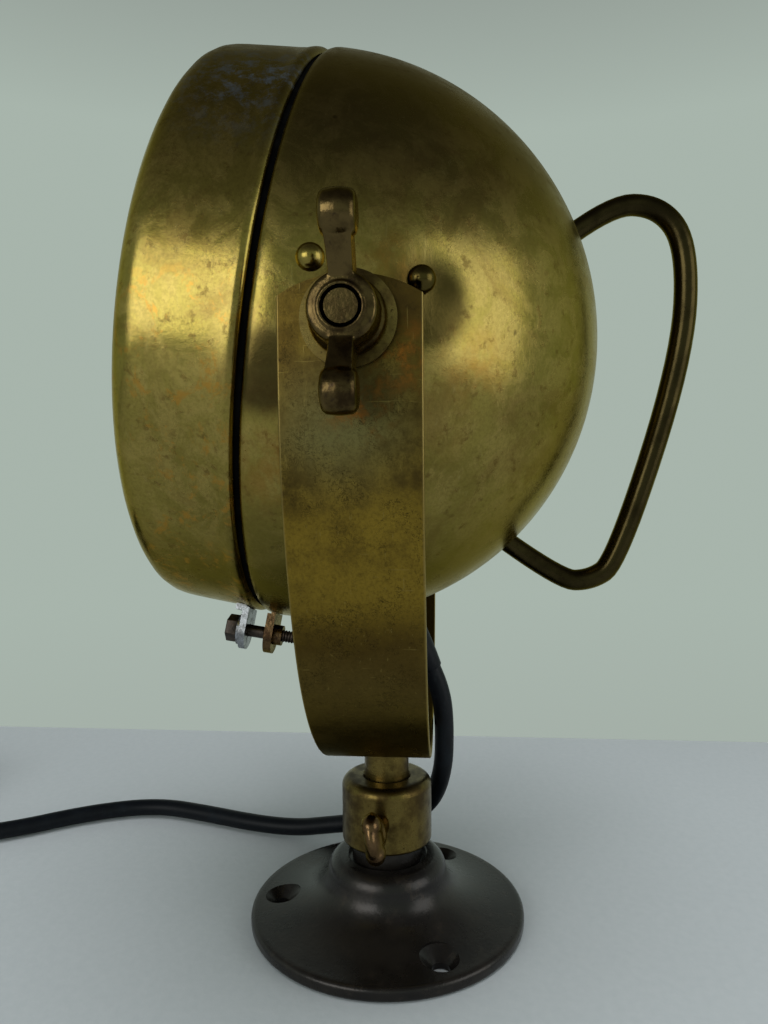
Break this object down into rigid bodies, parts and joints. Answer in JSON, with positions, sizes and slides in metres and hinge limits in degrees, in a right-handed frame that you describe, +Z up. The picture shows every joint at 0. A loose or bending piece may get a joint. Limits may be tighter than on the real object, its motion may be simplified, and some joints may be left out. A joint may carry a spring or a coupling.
{
  "type": "signal lamp",
  "caption": "Round brass signal lamp with a domed lens, tilting between wing nuts in a U-shaped yoke on a swivelling post with a flanged foot, with a rear carrying handle and a mains cord.",
  "frame": {"origin": "centre of the foot's underside, on the axis of the swivelling post", "axes": "+Z up along the post, -Y the way the lamp looks in plan, +X towards the near wing nut, on the side of the thumb screw"},
  "size_m": [0.2973, 0.4369, 0.2882],
  "materials": {
    "shell_brass": "spun brass with a polished, uneven brown patina",
    "strap_brass": "rolled brass strip, olive-brown and finely scratched",
    "turned_brass": "turned brass, lightly tarnished",
    "bronze": "cast bronze, satin, pinkish brown",
    "foot_metal": "cast foot, near-black brown satin",
    "zinc_plate": "bright zinc plate",
    "dark_steel": "oil-blackened steel",
    "spring_steel": "bright spring steel",
    "silvered": "silvered and polished",
    "lens_glass": "clear glass",
    "seal_rubber": "black rubber",
    "cord_rubber": "blue-black rubber sheath",
    "insulator": "brown moulded insulator",
    "plug_plastic": "dark brown moulded plug",
    "tie_cloth": "dark woven tie"
  },
  "bodies": {
    "base": {"base_flange": "foot_metal", "collar": "turned_brass", "cord_lower": "cord_rubber", "cord_run": "cord_rubber", "cord_coil": "cord_rubber", "cord_tie": "tie_cloth", "plug_body": "plug_plastic", "plug_pins": "turned_brass", "plug_screw": "dark_steel"},
    "yoke": {"yoke_strap": "strap_brass", "swivel_post": "turned_brass", "post_washer": "dark_steel", "post_nut": "bronze"},
    "head": {"body_shell": "shell_brass", "seat_ring": "shell_brass", "rim_gasket": "seal_rubber", "front_rim": "shell_brass", "rim_hook": "shell_brass", "lens_glass": "lens_glass", "lens_gasket": "seal_rubber", "reflector": "silvered", "glass_clips": "spring_steel", "lamp_holder": "turned_brass", "holder_insulator": "insulator", "holder_contacts": "turned_brass", "bulb_cap": "turned_brass", "bulb_glass": "lens_glass", "bulb_filament": "spring_steel", "inner_leads": "seal_rubber", "cable_gland": "turned_brass", "gland_nut": "turned_brass", "cord_boot": "cord_rubber", "cord_upper": "cord_rubber", "handle": "turned_brass", "handle_nuts": "turned_brass", "rim_tab": "zinc_plate", "shell_tab": "strap_brass", "clamp_washer": "dark_steel", "pivot_plate_near": "strap_brass", "pivot_plate_far": "strap_brass", "pivot_rivets_near": "turned_brass", "pivot_rivets_far": "turned_brass", "pivot_stud_near": "turned_brass", "pivot_stud_far": "turned_brass", "pivot_spacer_near": "turned_brass", "pivot_spacer_far": "turned_brass", "pivot_washer_near": "bronze", "pivot_washer_far": "bronze"},
    "wing_nut_near": {"wing_nut_near": "bronze"},
    "wing_nut_far": {"wing_nut_far": "bronze"},
    "thumb_screw": {"thumb_screw": "bronze"},
    "clamp_screw": {"clamp_screw": "dark_steel"}
  },
  "joints": [
    {"name": "pan_swivel", "type": "hinge", "parent": "base", "child": "yoke", "pos_m": [0, 0, 0.06], "axis": [0, 0, 1], "range_deg": [-120, 120], "deforming": ["cord_lower"]},
    {"name": "head_tilt", "type": "hinge", "parent": "yoke", "child": "head", "pos_m": [0, 0, 0.188], "axis": [-1, 0, 0], "range_deg": [-45, 50], "deforming": ["cord_upper"]},
    {"name": "wing_nut_near_turn", "type": "hinge", "parent": "head", "child": "wing_nut_near", "pos_m": [0.1, 0, 0.188], "axis": [1, 0, 0], "range_deg": [0, 450]},
    {"name": "wing_nut_far_turn", "type": "hinge", "parent": "head", "child": "wing_nut_far", "pos_m": [-0.1, 0, 0.188], "axis": [-1, 0, 0], "range_deg": [0, 450]},
    {"name": "thumb_screw_turn", "type": "hinge", "parent": "base", "child": "thumb_screw", "pos_m": [0, 0, 0.0385], "axis": [0.9962, -0.0872, 0], "range_deg": [0, 450]},
    {"name": "clamp_screw_turn", "type": "hinge", "parent": "head", "child": "clamp_screw", "pos_m": [0.02505, -0.0366, 0.10421], "axis": [0, -0.9882, 0.153], "range_deg": [0, 450]}
  ]
}
